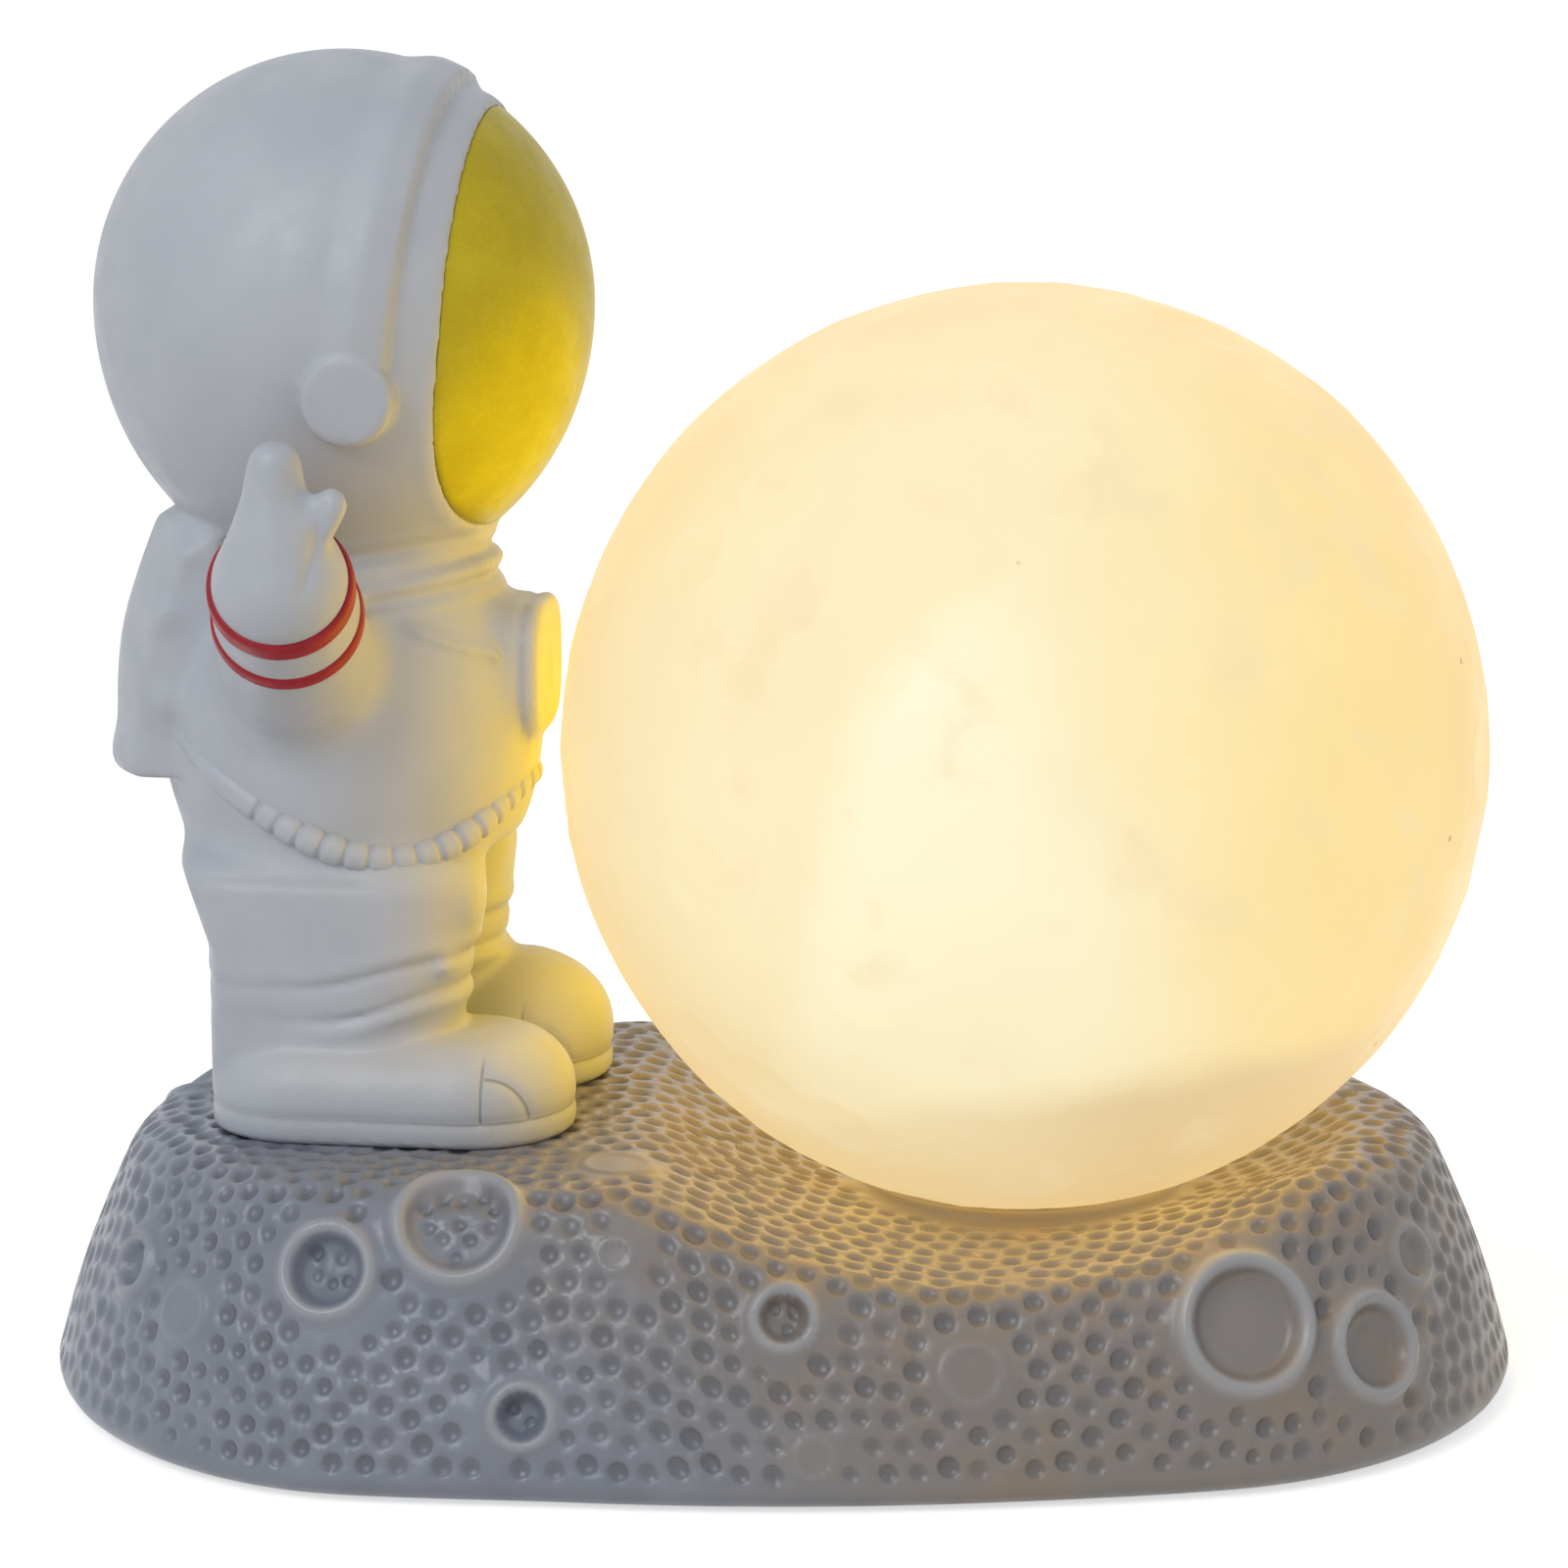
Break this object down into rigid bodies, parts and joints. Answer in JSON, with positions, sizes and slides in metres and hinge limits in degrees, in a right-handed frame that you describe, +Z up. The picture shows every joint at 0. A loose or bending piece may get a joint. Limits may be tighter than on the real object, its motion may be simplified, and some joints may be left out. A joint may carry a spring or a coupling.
{
  "type": "astronaut moon lamp",
  "caption": "Table lamp with a cast space-suit figure and a glowing hollow moon globe on an oval dimpled base with battery box and slide switch.",
  "frame": {"origin": "centre of the footprint, on the table under the pads", "axes": "+X along the base toward the globe, +Y to the back, +Z up"},
  "size_m": [0.15, 0.094, 0.1357],
  "materials": {
    "base_grey": "semi-gloss painted resin",
    "cover_black": "fine moulded texture",
    "steel": "plain bright steel",
    "pad_rubber": "soft matt pad",
    "cell_jacket": "printed-free coloured jacket",
    "switch_black": "smooth",
    "holder_white": "smooth",
    "board_green": "lacquered board",
    "led_yellow": "clear resin over phosphor",
    "globe_cream": "translucent, lit from inside",
    "lead_red": "smooth insulation",
    "lead_black": "smooth insulation",
    "suit_white": "satin painted resin",
    "visor_gold": "satin gold paint",
    "stripe_red": "painted stripe"
  },
  "bodies": {
    "lamp": {"base_shell": "base_grey", "bottom_cover": "cover_black", "cover_screws": "steel", "foot_pads": "pad_rubber", "battery_box": "cover_black", "battery_cell_1": "cell_jacket", "battery_cell_2": "cell_jacket", "battery_cell_3": "cell_jacket", "contacts_front": "steel", "contacts_rear": "steel", "switch_body": "switch_black", "switch_screws": "steel", "lamp_holder": "holder_white", "led_board": "board_green", "led_chips": "led_yellow", "moon_globe": "globe_cream", "lead_battery": "lead_red", "lead_switch": "lead_red", "lead_return": "lead_black", "right_boot": "suit_white", "left_boot": "suit_white", "foot_pins": "steel", "right_leg": "suit_white", "left_leg": "suit_white", "torso": "suit_white", "visor": "visor_gold", "helmet": "suit_white", "hood_band": "suit_white", "ear_disc_right": "suit_white", "ear_disc_left": "suit_white", "neck_ring": "suit_white", "backpack": "suit_white", "chest_pack": "suit_white", "harness_strap": "suit_white", "waist_hose": "suit_white", "right_sleeve": "suit_white", "sleeve_bands": "stripe_red", "right_hand": "suit_white", "left_sleeve": "suit_white", "left_hand": "suit_white"},
    "door": {"battery_door": "cover_black"},
    "slider": {"switch_slider": "switch_black"}
  },
  "joints": [
    {"name": "door_hinge", "type": "hinge", "parent": "lamp", "child": "door", "pos_m": [-0.047, 0, 0.0026], "axis": [0, 1, 0], "range_deg": [0, 80]},
    {"name": "switch_slide", "type": "slide", "parent": "lamp", "child": "slider", "axis": [1, 0, 0], "range_m": [0, 0.0025]}
  ]
}
